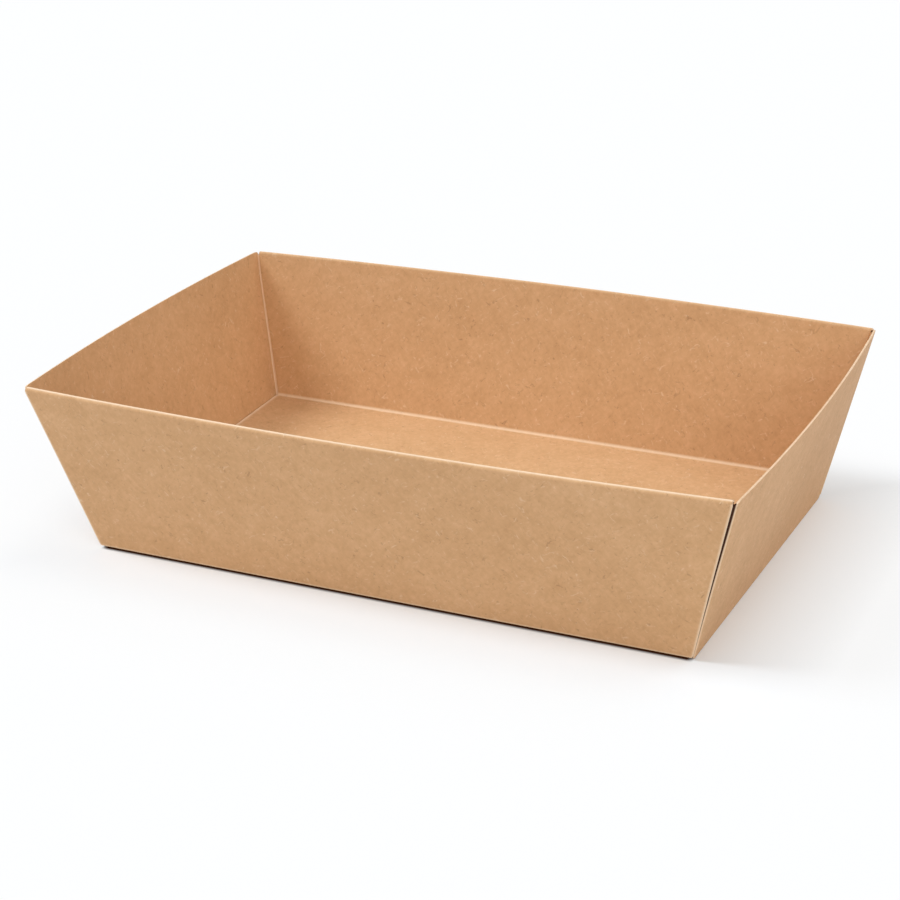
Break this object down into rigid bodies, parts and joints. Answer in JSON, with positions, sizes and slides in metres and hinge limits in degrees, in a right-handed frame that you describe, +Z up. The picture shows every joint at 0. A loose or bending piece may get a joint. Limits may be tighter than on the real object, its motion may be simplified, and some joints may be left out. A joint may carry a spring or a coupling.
{
  "type": "cardboard tray",
  "caption": "Open rectangular tray with flared walls, folded from one sheet of kraft board, for food or small goods.",
  "frame": {"origin": "middle of the footprint, at the lower edges that stand on the table", "axes": "+X along the long side, +Y towards the long wall that the picture shows from inside, +Z up, out of the open top"},
  "size_m": [0.1848, 0.123, 0.045],
  "materials": {
    "kraft_board": "matte uncoated board with fine fibres and flecks"
  },
  "bodies": {
    "root": {"tray": "kraft_board"}
  },
  "joints": []
}
